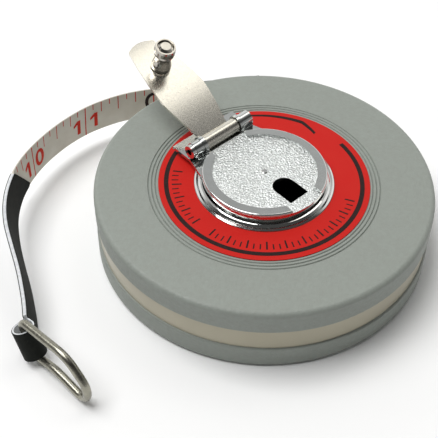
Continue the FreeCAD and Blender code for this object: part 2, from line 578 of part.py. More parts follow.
def stud_and_knob():
    high, sink = "knob_length", "stud_sink"
    bore = "stud_radius + run_gap"
    stud = turned("knob_stud", [
        ("0", "-leaf_thickness"), ("stud_radius", "-leaf_thickness"),
        ("stud_radius", f"{high} - {sink}"), ("stud_head", f"{high} - {sink}"),
        ("stud_head", f"{high} - {sink} + stud_head_high / 3"),
        ("stud_head * 0.7", f"{high} - {sink} + stud_head_high"), ("0", f"{high} - {sink} + stud_head_high")])
    stud.Placement = knob_frame()
    label(stud, "knob_stud")
    top = f"{high} - {sink} - run_gap"
    knob = turned("winding_knob", [
        (bore, "knob_seat_gap"), ("knob_base * 0.93", "knob_seat_gap"), ("knob_base", f"{high} * 0.06"),
        ("knob_base", f"{high} * 0.16"), ("knob_base * 0.93", f"{high} * 0.27"),
        ("knob_waist * 1.03", f"{high} * 0.41"), ("knob_waist", f"{high} * 0.52"),
        ("knob_waist * 1.03", f"{high} * 0.62"), ("knob_head * 0.95", f"{high} * 0.68"),
        ("knob_head * 0.88", f"{high} * 0.73"), ("knob_head", f"{high} * 0.78"),
        ("knob_head", f"{high} * 0.93"), ("knob_head * 0.93", high), ("stud_head + 0.4", high),
        ("stud_head + 0.15", top), (bore, top)])
    knob.Placement = knob_frame()
    label(knob, "winding_knob")


# ---- the tape outside and inside the mouth --------------------------------------------------------------
# Route of the tape's centre line from the mouth's outlet, and the direction across it, chosen by hand:
# it arches round on its edge, sinks to the surface and leans over before the ring.
ROUTE = [
    ((-23.3, 49.7, 11.8), (0.00, 0.00, -1.00)),
    ((-32.0, 49.0, 11.8), (0.00, 0.02, -1.00)),
    ((-40.6, 47.7, 11.8), (-0.02, 0.05, -1.00)),
    ((-48.5, 45.2, 11.8), (-0.04, 0.08, -1.00)),
    ((-55.5, 41.3, 11.8), (-0.06, 0.07, -1.00)),
    ((-62.3, 36.1, 11.8), (-0.07, 0.06, -1.00)),
    ((-69.4, 27.6, 11.8), (-0.07, 0.04, -1.00)),
    ((-75.2, 17.2, 11.8), (-0.03, 0.01, -1.00)),
    ((-78.6, 6.4, 11.7), (0.06, -0.04, -1.00)),
    ((-79.2, -4.4, 11.1), (0.14, 0.04, -0.99)),
    ((-77.2, -14.0, 10.2), (0.20, 0.10, -0.98)),
    ((-73.6, -23.0, 9.2), (0.17, 0.09, -0.98)),
    ((-69.8, -31.6, 8.4), (0.15, 0.12, -0.98)),
    ((-67.0, -39.4, 7.7), (0.20, 0.02, -0.98)),
    ((-65.3, -44.8, 7.1), (0.27, -0.20, -0.94)),
    ((-64.4, -48.8, 6.9), (0.28, -0.25, -0.93)),
]
LEADER_START = 8                      # the black leader covers the route from this point on
ROUTE_RADIUS = 52.0                   # the case radius that the points are for: the free tape follows the mouth
SHIFT = FreeCAD.Rotation(Z_AXIS, number(MOUTH_TURN)).multVec(Vector(0, number("case_radius") - ROUTE_RADIUS, 0))
LOOP_TOP = Vector(-65.35, -51.75, 11.3) + SHIFT
LOOP_AXIS = Vector(0.295, -0.245, -0.924)
LOOP_AXIS.normalize()
RING_PLANE = Vector(0.768, -0.641, 0)  # the ring stands in the upright plane along this direction
RING_ORIGIN = Vector(-65.4, -51.6, 0) + SHIFT
# Corner points of the ring's wire in that plane (along, height) and each corner's bend radius.
RING_CORNERS = [((-1.3, 13.6), 2.2), ((4.9, 1.6), 1.9), ((13.0, 3.5), 14.0), ((25.0, 1.2), 3.6),
                ((28.0, 8.0), 6.2), ((19.5, 15.9), 9.0)]


def inner_route():
    """The stretch from the coil, which it leaves as a tangent, past the inner roller to the outlet."""
    turn = FreeCAD.Rotation(Z_AXIS, number(MOUTH_TURN))
    bend = turn.multVec(Vector(number("inner_roller_x") + 0.9, number("inner_roller_y") + 2.1, number(MIDDLE)))
    radius = number("coil_outer") + 0.9
    polar = math.atan2(bend.y, bend.x) - math.acos(radius / math.hypot(bend.x, bend.y))
    touch = Vector(radius * math.cos(polar), radius * math.sin(polar), bend.z)
    return [(tuple(touch + (bend - touch) * share), (0.0, 0.0, -1.0)) for share in (0.06, 0.5, 1.0)]


def ribbon(first, last, widths, thick):
    """A closed strip from one station of the route to another, as a ruled loft of narrow rectangles."""
    sections = []
    for index in range(first, last + 1):
        ahead = CENTRES[min(index + 1, len(CENTRES) - 1)] - CENTRES[max(index - 1, 0)]
        across = Vector(*STATIONS[index][1])
        across.normalize()
        face = ahead.cross(across)
        face.normalize()
        half, lift = across * (widths[index - first] / 2), face * (thick / 2)
        centre = CENTRES[index]
        corners = [centre + half + lift, centre - half + lift, centre - half - lift, centre + half - lift]
        sections.append(Part.makePolygon(corners + corners[:1]))
    return Part.makeLoft(sections, True, True)


STATIONS = inner_route() + [(tuple(Vector(*place) + SHIFT), across) for place, across in ROUTE]
CENTRES = [Vector(*place) for place, across in STATIONS]
OUTLET = len(STATIONS) - len(ROUTE)
LEADER = OUTLET + LEADER_START
FINAL = len(STATIONS) - 1


def free_tape():
    wide = number("tape_width")
    feature("tape_run", ribbon(0, OUTLET, [wide] * (OUTLET + 1), number("tape_solid") * 0.75))
    feature("tape_lead", ribbon(OUTLET, LEADER, [wide] * (LEADER_START + 1), number("tape_solid")))
    from_width, to_width = number("leader_width"), number("loop_length")
    steps = FINAL - LEADER
    widths = [from_width + (to_width - from_width) * step / steps for step in range(steps + 1)]
    feature("leader_strip", ribbon(LEADER, FINAL, widths, number("leader_solid")))
    tube = Part.makeCylinder(number("loop_outer"), number("loop_length"), LOOP_TOP, LOOP_AXIS)
    hollow = Part.makeCylinder(number("loop_inner"), number("loop_length") + 2, LOOP_TOP - LOOP_AXIS, LOOP_AXIS)
    strip = [piece for piece in PIECES if piece.Label == "leader_strip"][0]
    feature("end_loop", tube.cut(hollow).cut(strip.Shape))


def print_route():
    """The free tape's length and how tightly it bends at each station."""
    free = CENTRES[OUTLET:]
    length = sum((after - before).Length for before, after in zip(free, free[1:]))
    print(f"free tape: {length:.1f} mm from the outlet to the loop")
    for before, at, after in zip(free, free[1:], free[2:]):
        turn = (at - before).getAngle(after - at)
        print(f"bend radius {(after - before).Length / 2 / max(math.sin(turn), 1e-6):.0f} mm")


def rounded_loop(corners):
    """A closed wire of straight runs and tangent arcs through corner points with bend radii."""
    runs = []
    count = len(corners)
    for index, (point, radius) in enumerate(corners):
        before, after = corners[index - 1][0], corners[(index + 1) % count][0]
        back, ahead = before - point, after - point
        back.normalize()
        ahead.normalize()
        half = back.getAngle(ahead) / 2
        reach = radius / math.tan(half)
        towards = back + ahead
        towards.normalize()
        middle = point + towards * (radius / math.sin(half) - radius)
        runs.append((point + back * reach, middle, point + ahead * reach))
    edges = []
    for index, (start, middle, end) in enumerate(runs):
        edges.append(Part.Arc(start, middle, end).toShape())
        edges.append(Part.makeLine(end, runs[(index + 1) % count][0]))
    return Part.Wire(edges), runs[0]


def end_ring():
    corners = [(RING_ORIGIN + RING_PLANE * along + Z_AXIS * high, radius)
               for (along, high), radius in RING_CORNERS]
    path, (start, middle, end) = rounded_loop(corners)
    begin = path.Edges[1]
    run = begin.tangentAt(begin.FirstParameter)
    first = begin.valueAt(begin.FirstParameter)
    ordered = Part.Wire(path.Edges[1:] + path.Edges[:1])
    section = Part.Wire(Part.Circle(first, run, number("ring_wire")).toShape())
    shape = ordered.makePipeShell([section], True, True)
    feature("end_ring", shape)


for make in (lower_shell, upper_shell, rim_band, label_ring, hub_flange, case_screws, lower_bearing, mouth_frame,
             mouth_rollers, reel_drum, reel_sides, spindle, disc_rivet, crank_disc, hinge_pin, crank_leaf,
             stud_and_knob, free_tape, end_ring, print_route):
    make()
doc.recompute()

for thing in doc.Objects:
    if "Invalid" in thing.State or "Error" in thing.State:
        raise RuntimeError(f"{thing.Label} did not build: {thing.State}")
os.makedirs("parts", exist_ok=True)
for piece in PIECES:
    shape = piece.Shape
    if shape.isNull() or not shape.isValid() or not shape.Solids:
        raise RuntimeError(f"{piece.Label} has no valid solid")
    shape.exportStep(f"parts/{piece.Label}.step")
    print(f"{piece.Label}: {len(shape.Solids)} solid(s), {shape.Volume:.1f} mm3")
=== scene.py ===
"""Looks of the closed-case long tape measure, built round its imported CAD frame.

Sizes are in millimetres. The lights, the floor and the camera's clipping are in metres.
"""
import math

import bmesh
import bpy
from mathutils import Matrix, Vector


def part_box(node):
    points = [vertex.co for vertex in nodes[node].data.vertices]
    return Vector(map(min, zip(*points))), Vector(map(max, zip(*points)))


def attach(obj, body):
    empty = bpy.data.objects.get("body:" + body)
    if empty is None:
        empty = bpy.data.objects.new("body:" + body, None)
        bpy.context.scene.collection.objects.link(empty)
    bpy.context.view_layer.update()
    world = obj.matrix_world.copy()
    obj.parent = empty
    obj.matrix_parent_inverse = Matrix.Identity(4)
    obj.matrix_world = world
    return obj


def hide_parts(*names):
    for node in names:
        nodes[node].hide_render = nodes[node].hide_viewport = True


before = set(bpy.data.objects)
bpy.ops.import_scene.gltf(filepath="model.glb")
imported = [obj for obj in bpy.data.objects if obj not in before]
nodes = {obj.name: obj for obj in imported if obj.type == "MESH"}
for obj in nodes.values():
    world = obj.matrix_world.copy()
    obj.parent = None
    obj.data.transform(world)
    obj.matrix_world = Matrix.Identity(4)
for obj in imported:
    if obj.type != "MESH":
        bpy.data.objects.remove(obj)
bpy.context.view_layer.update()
MM = 0.001
UP = Vector((0, 0, 1))
RECESS_FLOOR = 27.5       # height of the crank disc's stippled floor
STIPPLE_FADE = (0.12, 0.04)   # distances from that floor at which the stipple has gone, and is full


# ---- camera and light ------------------------------------------------------------------------------
def add_camera(place, yaw, pitch, roll, lens):
    ahead = Vector((math.sin(yaw) * math.cos(pitch), math.cos(yaw) * math.cos(pitch), -math.sin(pitch)))
    right = ahead.cross(UP).normalized()
    above = right.cross(ahead)
    right, above = (math.cos(roll) * right + math.sin(roll) * above,
                    math.cos(roll) * above - math.sin(roll) * right)
    data = bpy.data.cameras.new("camera")
    data.lens = lens
    data.clip_start = 0.01
    camera = bpy.data.objects.new("camera", data)
    turn = Matrix((right, above, -ahead)).transposed().to_4x4()
    camera.matrix_world = Matrix.Translation(Vector(place) * MM) @ turn
    bpy.context.collection.objects.link(camera)
    bpy.context.scene.camera = camera


def add_area_light(name, place, target, size, power, color=(1, 1, 1)):
    data = bpy.data.lights.new(name, "AREA")
    data.shape = "RECTANGLE"
    data.size, data.size_y = size
    data.energy = power
    data.color = color
    light = bpy.data.objects.new(name, data)
    light.location = place
    light.rotation_euler = (Vector(target) - Vector(place)).to_track_quat("-Z", "Y").to_euler()
    bpy.context.collection.objects.link(light)


def add_world(behind, front, change):
    """Sky as (height, grey) stops, behind the object and on the side in front of it.

    The front one gives way to the one behind between the two values of a direction's Y in change.
    """
    world = bpy.data.worlds.new("studio")
    world.use_nodes = True
    tree = world.node_tree
    place = tree.nodes.new("ShaderNodeTexCoord")
    split = tree.nodes.new("ShaderNodeSeparateXYZ")
    share = tree.nodes.new("ShaderNodeMapRange")
    share.inputs["From Min"].default_value, share.inputs["From Max"].default_value = change
    blend = tree.nodes.new("ShaderNodeMix")
    blend.data_type = "RGBA"
    tree.links.new(place.outputs["Generated"], split.inputs[0])
    tree.links.new(split.outputs["Y"], share.inputs["Value"])
    tree.links.new(share.outputs[0], blend.inputs[0])
    for socket, stops in ((blend.inputs[7], behind), (blend.inputs[6], front)):
        ramp = tree.nodes.new("ShaderNodeValToRGB")
        elements = ramp.color_ramp.elements
        while len(elements) < len(stops):
            elements.new(0.5)
        for element, (height, grey) in zip(elements, stops):
            element.position = height
            element.color = (grey, grey, grey * 0.99, 1)
        tree.links.new(split.outputs["Z"], ramp.inputs[0])
        tree.links.new(ramp.outputs[0], socket)
    tree.links.new(blend.outputs[2], tree.nodes["Background"].inputs[0])
    bpy.context.scene.world = world


# ---- materials -----------------------------------------------------------------------------------
def srgb(red, green, blue):
    """Linear colour of an 8-bit display colour."""
    def linear(value):
        value /= 255
        return value / 12.92 if value <= 0.04045 else ((value + 0.055) / 1.055) ** 2.4
    return (linear(red), linear(green), linear(blue), 1)


class Surface:
    """A procedural material: a base colour that varies, and layers of bump, all in the object's own space."""

    def __init__(self, name, color, roughness, metallic=0.0, other=None, vary=400.0, **sockets):
        self.material = bpy.data.materials.new(name)
        self.material.use_nodes = True
        self.tree = self.material.node_tree
        self.shader = self.tree.nodes["Principled BSDF"]
        self.shader.inputs["Metallic"].default_value = metallic
        self.shader.inputs["Roughness"].default_value = roughness
        for socket, value in sockets.items():
            self.shader.inputs[socket.replace("_", " ")].default_value = value
        self.place = self.add("ShaderNodeTexCoord").outputs["Object"]
        self.normal = None
        patches = self.noise(vary, 4.0)
        self.color = self.mix(self.spread(patches, 0.35, 0.65), color, other or color)
        self.tree.links.new(self.color, self.shader.inputs["Base Color"])

    def add(self, kind, **settings):
        node = self.tree.nodes.new(kind)
        for name, value in settings.items():
            setattr(node, name, value)
        return node

    def put(self, socket, value):
        if hasattr(value, "is_output"):
            self.tree.links.new(value, socket)
        else:
            socket.default_value = value

    def noise(self, scale, detail=2.0, rough=0.5):
        node = self.add("ShaderNodeTexNoise")
        self.put(node.inputs["Vector"], self.place)
        node.inputs["Scale"].default_value = scale
        node.inputs["Detail"].default_value = detail
        node.inputs["Roughness"].default_value = rough
        return node.outputs[0]

    def cells(self, scale, feature="SMOOTH_F1"):
        node = self.add("ShaderNodeTexVoronoi", feature=feature)
        self.put(node.inputs["Vector"], self.place)
        node.inputs["Scale"].default_value = scale
        return node.outputs["Distance"]

    def wave(self, scale, direction):
        node = self.add("ShaderNodeTexWave", bands_direction=direction)
        self.put(node.inputs["Vector"], self.place)
        node.inputs["Scale"].default_value = scale
        return node.outputs["Fac"]

    def spread(self, value, low, high, start=0.0, end=1.0):
        """The value, stretched from low..high to start..end and held at its ends."""
        node = self.add("ShaderNodeMapRange")
        self.put(node.inputs["Value"], value)
        for socket, number in (("From Min", low), ("From Max", high), ("To Min", start), ("To Max", end)):
            node.inputs[socket].default_value = number
        return node.outputs[0]

    def maths(self, kind, *values):
        node = self.add("ShaderNodeMath", operation=kind)
        for socket, value in zip(node.inputs, values):
            self.put(socket, value)
        return node.outputs[0]

    def mix(self, factor, first, second):
        node = self.add("ShaderNodeMix", data_type="RGBA")
        self.put(node.inputs[0], factor)
        self.put(node.inputs[6], first)
        self.put(node.inputs[7], second)
        return node.outputs[2]

    def recolor(self, factor, color):
        self.color = self.mix(factor, self.color, color)
        self.tree.links.new(self.color, self.shader.inputs["Base Color"])
        return self

    def rough(self, value, low, high):
        """Roughness between low and high, where the value is a noise."""
        self.put(self.shader.inputs["Roughness"], self.spread(value, 0.3, 0.7, low, high))
        return self

    def bump(self, height, strength, depth):
        """Adds a layer of bump: depth is its full height in millimetres, strength may be a mask."""
        node = self.add("ShaderNodeBump")
        node.inputs["Distance"].default_value = depth * MM
        self.put(node.inputs["Strength"], strength)
        self.put(node.inputs["Height"], height)
        if self.normal is not None:
            self.tree.links.new(self.normal, node.inputs["Normal"])
        self.normal = node.outputs[0]
        self.tree.links.new(self.normal, self.shader.inputs["Normal"])
        return self

    def coordinate(self, axis):
        node = self.add("ShaderNodeSeparateXYZ")
        self.put(node.inputs[0], self.place)
        return node.outputs[axis]


def case_surfaces():
    """The moulded case, its band, its label, and the inks on the label and the tape."""
    case = Surface("case_grey", srgb(139, 144, 137), 0.52, other=srgb(142, 148, 141), vary=700)
    case.bump(case.cells(1300), 0.6, 0.13).bump(case.noise(2600, 3), 0.5, 0.1)
    case.rough(case.noise(900, 3), 0.46, 0.62)
    band = Surface("band_cream", srgb(176, 170, 150), 0.3, 0.3, other=srgb(171, 165, 145), vary=60)
    band.bump(band.noise(500, 2), 0.1, 0.01).rough(band.noise(300, 2), 0.28, 0.34)
    label = Surface("label_red", srgb(196, 30, 24), 0.46, other=srgb(196, 33, 26), vary=200,
                    Specular_IOR_Level=0.12)
    label.bump(label.noise(700, 3), 0.15, 0.03)
    black = Surface("ink_black", srgb(34, 20, 19), 0.5, other=srgb(44, 25, 23), vary=900,
                    Specular_IOR_Level=0.15)
    black.bump(black.noise(3000, 2), 0.2, 0.01)
    red = Surface("ink_red", srgb(204, 40, 22), 0.6, other=srgb(212, 54, 34), vary=1500,
                  Specular_IOR_Level=0.15)
    red.bump(red.noise(4000, 2), 0.2, 0.01)
    return {"case": case, "band": band, "label": label, "ink_black": black, "ink_red": red}


def metal_surfaces():
    """The plated and bare metals. The disc's has a function of its own."""
    chrome = Surface("chrome_plate", (0.80, 0.80, 0.78, 1), 0.08, 1.0, other=(0.72, 0.73, 0.72, 1), vary=300)
    chrome.bump(chrome.noise(500, 2), 0.25, 0.03).rough(chrome.noise(1200, 3), 0.05, 0.14)
    disc = disc_surface()
    nickel = Surface("satin_nickel", (0.74, 0.71, 0.63, 1), 0.24, 1.0, other=(0.74, 0.71, 0.64, 1), vary=160)
    nickel.bump(nickel.noise(5200, 2), 0.3, 0.012).rough(nickel.noise(2400, 4), 0.19, 0.3)
    # Painted shade: the knob's nickel is much darker than the leaf's so that its body shows dark reflections.
    knob = Surface("knob_nickel_darkened_for_shade", (0.52, 0.49, 0.44, 1), 0.12, 1.0, other=(0.44, 0.42, 0.38, 1), vary=500)
    knob.bump(knob.noise(2600, 3), 0.2, 0.015).rough(knob.noise(2000, 3), 0.1, 0.22)
    wire = Surface("ring_wire", (0.34, 0.33, 0.27, 1), 0.26, 1.0, other=(0.27, 0.26, 0.22, 1), vary=350)
    wire.bump(wire.noise(1200, 3), 0.15, 0.012).rough(wire.noise(900, 3), 0.22, 0.32)
    steel = Surface("zinc_steel", (0.50, 0.50, 0.50, 1), 0.35, 1.0, other=(0.44, 0.44, 0.45, 1), vary=500)
    steel.bump(steel.noise(3000, 3), 0.3, 0.02)
    brass = Surface("turned_brass", (0.72, 0.52, 0.22, 1), 0.3, 1.0, other=(0.64, 0.45, 0.18, 1), vary=600)
    brass.bump(brass.noise(2500, 3), 0.2, 0.02)
    return {"chrome": chrome, "disc": disc, "nickel": nickel, "knob": knob, "wire": wire,
            "steel": steel, "brass": brass}


def inner_surfaces():
    """The mouthpiece's and reel's black plastic, and the brake's felt."""
    plastic = Surface("black_plastic", srgb(34, 35, 33), 0.45, other=srgb(44, 45, 42), vary=300)
    plastic.bump(plastic.noise(2200, 3), 0.3, 0.03)
    felt = Surface("brake_felt", srgb(60, 58, 54), 0.95, other=srgb(40, 39, 37), vary=1500)
    felt.bump(felt.noise(4000, 5), 0.9, 0.2)
    return {"plastic": plastic, "felt": felt}


def tape_surfaces():
    """The coated tape, its bare core, and the scuffed leader."""
    tape = Surface("tape_white", srgb(222, 217, 207), 0.6, other=srgb(212, 206, 194), vary=150,
                   Specular_IOR_Level=0.3)
    weave = tape.maths("MULTIPLY", tape.wave(520, "Z"), tape.noise(2400, 3))
    tape.bump(weave, 0.25, 0.03).rough(tape.noise(900, 3), 0.42, 0.58)
    core = Surface("tape_edge", srgb(224, 226, 228), 0.6, other=srgb(204, 207, 210), vary=900)
    core.bump(core.noise(3200, 4), 0.5, 0.05)
    leader = Surface("leader_black", srgb(27, 29, 25), 0.7, other=srgb(20, 22, 19), vary=500,
                     Specular_IOR_Level=0.15)
    scuffs = leader.spread(leader.noise(1400, 6, 0.7), 0.66, 0.74)
    leader.recolor(scuffs, srgb(84, 88, 78))
    leader.bump(leader.cells(2100, "F1"), 0.35, 0.05).bump(scuffs, 0.4, 0.03)
    return {"tape": tape, "core": core, "leader": leader}


def make_surfaces():
    """Every material by its short name. Noise scales are per metre, depths of bump in millimetres."""
    return {**case_surfaces(), **metal_surfaces(), **inner_surfaces(), **tape_surfaces()}


def disc_surface():
    """Bright rim and lugs, with the low floor of the recess and its notch stippled."""
    disc = Surface("disc_chrome", (0.66, 0.68, 0.67, 1), 0.1, 1.0, other=(0.62, 0.64, 0.63, 1), vary=250)
    near = disc.maths("ABSOLUTE", disc.maths("SUBTRACT", disc.coordinate("Z"), RECESS_FLOOR * MM))
    mask = disc.spread(near, *(distance * MM for distance in STIPPLE_FADE))
    sparkle = disc.spread(disc.noise(2100, 1), 0.4, 0.6)
    grey = disc.mix(sparkle, (0.50, 0.52, 0.51, 1), (0.80, 0.82, 0.81, 1))
    disc.recolor(mask, grey).bump(disc.noise(1700, 2, 0.6), mask, 0.5)
    disc.put(disc.shader.inputs["Roughness"], disc.spread(mask, 0.0, 1.0, 0.12, 0.36))
    return disc


def dress(piece, surface):
    piece.data.materials.clear()
    piece.data.materials.append(surface.material)


# ---- meshes --------------------------------------------------------------------------------------
SHARP_ANGLE = 40.0
WIDEST_RIM = 0.12         # of the rounding along a strip's edges
SLANT_FADE = 14.0


def new_piece(name, points, faces, surface):
    """A mesh from points and faces, shaded smooth except at edges sharper than SHARP_ANGLE."""
    mesh = bpy.data.meshes.new(name)
    mesh.from_pydata([Vector(point) * MM for point in points], [], faces)
    shape = bmesh.new()
    shape.from_mesh(mesh)
    bmesh.ops.recalc_face_normals(shape, faces=shape.faces)
    shape.to_mesh(mesh)
    shape.free()
    piece = bpy.data.objects.new(name, mesh)
    bpy.context.collection.objects.link(piece)
    mesh.materials.append(surface.material)
    mesh.shade_smooth()
    mesh.set_sharp_from_angle(angle=math.radians(SHARP_ANGLE))
    return piece


def swept(rings, closed=False):
    """Points and faces of a tube through rings of points, capped unless it closes on itself."""
    sides = len(rings[0])
    points = [point for ring in rings for point in ring]
    faces = []
    spans = len(rings) if closed else len(rings) - 1
    for span in range(spans):
        here, there = span * sides, (span + 1) % len(rings) * sides
        for side in range(sides):
            other = (side + 1) % sides
            faces.append((here + side, here + other, there + other, there + side))
    if not closed:
        faces.append(tuple(reversed(range(sides))))
        faces.append(tuple(range(len(points) - sides, len(points))))
    return points, faces


def nurbs(points, steps=14):
    """Points along an open NURBS curve that has the given control points."""
    data = bpy.data.curves.new("guide", "CURVE")
    data.dimensions = "3D"
    spline = data.splines.new("NURBS")
    spline.points.add(len(points) - 1)
    for point, place in zip(spline.points, points):
        point.co = (*place, 1)
    spline.order_u = 3
    spline.use_endpoint_u = True
    data.resolution_u = steps
    guide = bpy.data.objects.new("guide", data)
    mesh = bpy.data.meshes.new_from_object(guide)
    line = [vertex.co.copy() for vertex in mesh.vertices]
    bpy.data.objects.remove(guide)
    return line


class Ribbon:
    """A strip along a centre line, whose points are found by length along it, height across and lift."""

    def __init__(self, stations, width):
        half = width / 2
        upper = nurbs([Vector(place) - Vector(across).normalized() * half for place, across in stations])
        lower = nurbs([Vector(place) + Vector(across).normalized() * half for place, across in stations])
        self.centre = [(top + bottom) / 2 for top, bottom in zip(upper, lower)]
        self.across = [(top - bottom).normalized() for top, bottom in zip(upper, lower)]
        self.lengths = [0.0]
        for before, after in zip(self.centre, self.centre[1:]):
            self.lengths.append(self.lengths[-1] + (after - before).length)
        self.total = self.lengths[-1]

    def at(self, along, high=0.0, lift=0.0):
        along = min(max(along, 0.0), self.total - 1e-6)
        index = max(i for i, length in enumerate(self.lengths[:-1]) if length <= along)
        share = (along - self.lengths[index]) / (self.lengths[index + 1] - self.lengths[index])
        centre = self.centre[index].lerp(self.centre[index + 1], share)
        across = self.across[index].lerp(self.across[index + 1], share).normalized()
        ahead = self.tangent(index).lerp(self.tangent(index + 1), share)
        face = across.cross(ahead).normalized()
        return centre + across * high + face * lift

    def tangent(self, index):
        after = self.centre[min(index + 1, len(self.centre) - 1)]
        return (after - self.centre[max(index - 1, 0)]).normalized()


def strip(ribbon, start, end, half_width, low, high, step=0.9, slant=0.0):
    """Rings of a flat strip between two lifts; half_width is a function of the distance from its start.

    The strip's edges are rounded off by a rim. A slant is how far its lower edge reaches back before
    its start, and it fades out over the first SLANT_FADE of its length.
    """
    count = max(2, round((end - start) / step))
    rim = min(0.25 * abs(high - low), WIDEST_RIM)
    rings = []
    for index in range(count + 1):
        along = start + (end - start) * index / count
        half = half_width(along - start)
        third = half / 3
        section = [(-half, low + rim), (-half, high - rim), (-half + rim, high), (-third, high),
                   (third, high), (half - rim, high), (half, high - rim), (half, low + rim),
                   (half - rim, low), (third, low), (-third, low), (-half + rim, low)]
        lean = slant * max(0.0, 1 - (along - start) / SLANT_FADE)
        rings.append([ribbon.at(along - lean * (0.5 - across / half / 2), across, lift)
                      for across, lift in section])
    return rings


def flat_marks(name, ribbon, outlines, surface, lift):
    """Printed marks on the ribbon: outlines are lists of triangles or quads of (along, high) points."""
    points, faces = [], []
    for outline in outlines:
        start = len(points)
        points += [ribbon.at(along, high, lift) for along, high in outline]
        faces.append(tuple(range(start, len(points))))
    return new_piece(name, points, faces, surface)


def numeral_one():
    """A bold 1: a stem cut into short lengths so that it follows the tape, and a flag."""
    high, wide, flag, rows = 6.4, 1.3, 1.6, 5
    crown = high / 2
    levels = [high * (row / rows - 0.5) for row in range(rows + 1)]
    faces = [[(0, low), (wide, low), (wide, top), (0, top)] for low, top in zip(levels, levels[1:])]
    faces.append([(0, crown), (-flag, crown - 1.5), (-flag, crown - 2.7), (0, crown - 1.6)])
    return faces


def glyph_faces(text, size, weight):
    """Flat faces of a numeral, centred, as lists of (x, y) points, cut by a grid to follow the tape."""
    data = bpy.data.curves.new("glyph", "FONT")
    data.body = text
    data.size = size
    data.offset = weight
    data.align_x, data.align_y = "CENTER", "CENTER"
    data.resolution_u = 4
    holder = bpy.data.objects.new("glyph", data)
    mesh = bpy.data.meshes.new_from_object(holder)
    shape = bmesh.new()
    shape.from_mesh(mesh)
    cuts = 12
    for cut in range(-cuts // 2, cuts // 2 + 1):
        level = cut * size / cuts
        for normal in ((1, 0, 0), (0, 1, 0)):
            geometry = shape.verts[:] + shape.edges[:] + shape.faces[:]
            bmesh.ops.bisect_plane(shape, geom=geometry, plane_co=Vector(normal) * level, plane_no=normal)
    faces = [[(vertex.co.x, vertex.co.y) for vertex in face.verts] for face in shape.faces]
    shape.free()
    bpy.data.objects.remove(holder)
    return faces


# ---- the free tape ---------------------------------------------------------------------------------
# The tape's route, as in the CAD source: centre points and the direction across the tape, downwards.
ROUTE = [
    ((-23.3, 49.7, 11.8), (0.00, 0.00, -1.00)),
    ((-32.0, 49.0, 11.8), (0.00, 0.02, -1.00)),
    ((-40.6, 47.7, 11.8), (-0.02, 0.05, -1.00)),
    ((-48.5, 45.2, 11.8), (-0.04, 0.08, -1.00)),
    ((-55.5, 41.3, 11.8), (-0.06, 0.07, -1.00)),
    ((-62.3, 36.1, 11.8), (-0.07, 0.06, -1.00)),
    ((-69.4, 27.6, 11.8), (-0.07, 0.04, -1.00)),
    ((-75.2, 17.2, 11.8), (-0.03, 0.01, -1.00)),
    ((-78.6, 6.4, 11.7), (0.06, -0.04, -1.00)),
    ((-79.2, -4.4, 11.1), (0.14, 0.04, -0.99)),
    ((-77.2, -14.0, 10.2), (0.20, 0.10, -0.98)),
    ((-73.6, -23.0, 9.2), (0.17, 0.09, -0.98)),
    ((-69.8, -31.6, 8.4), (0.15, 0.12, -0.98)),
    ((-67.0, -39.4, 7.7), (0.20, 0.02, -0.98)),
    ((-65.3, -44.8, 7.1), (0.27, -0.20, -0.94)),
    ((-64.4, -48.8, 6.9), (0.28, -0.25, -0.93)),
]
INCH = 25.4
TEN_INCH = 67.5           # length along the tape from the outlet to the 10 inch line
LINE_REACH = (12.8, 2.4, 4.6, 2.4, 5.9, 2.4, 4.6, 2.4)   # of the lines, by eighths of an inch
TAPE_HALF = 6.5           # half the tape's width
TAPE_THICK = 0.45
LEADER_START = 79.0       # length along the tape from the outlet to the leader
LEADER_HALF = 6.0         # half the leader's width where it starts
LEADER_CORNER = 0.9       # radius of its corners there
LEADER_SLANT = 7.0
LEADER_THICK = 0.25       # of each of its two layers
FOLD_THICK = 1.0          # of the doubled tape end between them
FOLD_START = 0.8          # how far inside the leader the doubled end starts
FOLD_EDGE = 0.15          # how far it shows beside the leader
LOOP_TOP = Vector((-65.35, -51.75, 11.3))
LOOP_AXIS = Vector((0.295, -0.245, -0.924)).normalized()
LOOP_LENGTH = 9.7
LINING_OVERHANG = 0.25    # how much longer the loop's pale lining is than its dark skin
# The loop's section is a drop. Each pair is the radius of its round part and the reach of its cusp.
SKIN_OUTSIDE, SKIN_INSIDE = (3.55, 5.3), (3.27, 4.9)
LINING_OUTSIDE, LINING_INSIDE = (3.25, 4.85), (2.85, 4.2)
ribbon = Ribbon(ROUTE, 2 * TAPE_HALF)


def tape_half(distance):
    """Half the free tape's width, the same all along."""
    return TAPE_HALF


def leader_half(distance):
    """Half the leader's width at a distance from its start: it narrows to the loop's length."""
    narrowing = LOOP_LENGTH / 2 - LEADER_HALF
    half = LEADER_HALF + narrowing * min(1.0, distance / (ribbon.total - LEADER_START))
    if distance < LEADER_CORNER:
        side = LEADER_CORNER - distance
        half -= LEADER_CORNER - math.sqrt(max(LEADER_CORNER ** 2 - side ** 2, 0.0))
    return half


def fold_half(distance):
    """Half width of the doubled tape end, a thin pale edge wider than the leader."""
    past_corner = 3.0
    return min(TAPE_HALF, leader_half(distance + past_corner) + FOLD_EDGE)


def add_tape(looks):
    """The printed tape, and in one piece with it the doubled end, whose bare core shows."""
    thick, fold = TAPE_THICK / 2, FOLD_THICK / 2
    front = strip(ribbon, 0.0, LEADER_START, tape_half, -thick, thick)
    back = strip(ribbon, LEADER_START + FOLD_START, ribbon.total, fold_half, -fold, fold)
    piece = new_piece("tape", *swept(front + back), looks["tape"])
    piece.data.materials.append(looks["core"].material)
    sides = len(front[0])
    for face in piece.data.polygons[sides * len(front):]:
        face.material_index = 1
    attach(piece, "case")
    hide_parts("tape_lead")
    return piece


